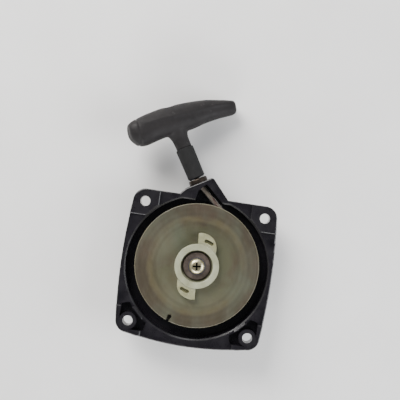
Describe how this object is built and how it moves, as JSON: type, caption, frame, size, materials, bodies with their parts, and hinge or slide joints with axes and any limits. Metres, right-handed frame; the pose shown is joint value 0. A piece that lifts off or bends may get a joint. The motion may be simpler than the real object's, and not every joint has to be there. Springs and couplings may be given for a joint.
{
  "type": "recoil starter",
  "caption": "Pull starter for a small engine: square housing with corner lugs, sprung rope reel with two ratchet dogs, side rope throat and a T handle.",
  "frame": {"origin": "the reel's axis where it meets the face that bolts to the engine", "axes": "+Z out of the housing towards the engine along the reel's axis, +Y towards the rope throat, +X to the right seen from the engine"},
  "size_m": [0.0992, 0.152, 0.0307],
  "materials": {
    "housing_plastic": "glossy moulded black nylon",
    "nylon": "translucent natural nylon, semi-gloss",
    "grip_plastic": "matte charcoal moulded plastic",
    "sleeve_rubber": "matte black rubber",
    "rope": "braided polyester cord with a dark tracer",
    "zinc_steel": "yellow zinc plated",
    "washer_steel": "phosphated steel, satin",
    "bright_steel": "satin",
    "sheet_steel": "oiled sheet steel",
    "spring_steel": "blued spring steel",
    "brass": "turned"
  },
  "bodies": {
    "housing": {"starter_housing": "housing_plastic", "rope_eyelet": "washer_steel", "post_insert": "brass", "spring_cup": "sheet_steel", "mainspring": "spring_steel", "spring_cover": "sheet_steel", "cover_screws": "zinc_steel", "thrust_washer": "bright_steel", "retaining_washer": "washer_steel", "lock_washer": "spring_steel", "centre_screw": "zinc_steel", "rope_lead": "rope"},
    "reel": {"reel": "nylon", "rope_winding": "rope", "rope_reel_knot": "rope"},
    "pull_rope": {"rope_tail": "rope", "handle_knot": "rope", "knot_washer": "bright_steel"},
    "handle": {"handle_grip": "grip_plastic", "stem_sleeve": "sleeve_rubber"}
  },
  "joints": [
    {"name": "handle_pull", "type": "slide", "parent": "housing", "child": "pull_rope", "axis": [-0.5225, 0.8526, 0], "range_m": [0, 0.5], "stiffness_N_per_m": 14, "springref_m": -0.35, "deforming": ["rope_tail", "rope_lead"]},
    {"name": "reel_spin", "type": "hinge", "parent": "housing", "child": "reel", "pos_m": [0, 0, 0], "axis": [0, 0, 1], "range_deg": [0, 1003], "deforming": ["mainspring", "rope_winding"]},
    {"name": "handle_swivel", "type": "hinge", "parent": "pull_rope", "child": "handle", "pos_m": [-0.00595, 0.04927, -0.0071], "axis": [-0.5225, 0.8526, 0], "range_deg": [-180, 180]}
  ],
  "couplings": [
    {"joint": "reel_spin", "follows": "handle_pull", "rad_per_m": 35}
  ]
}
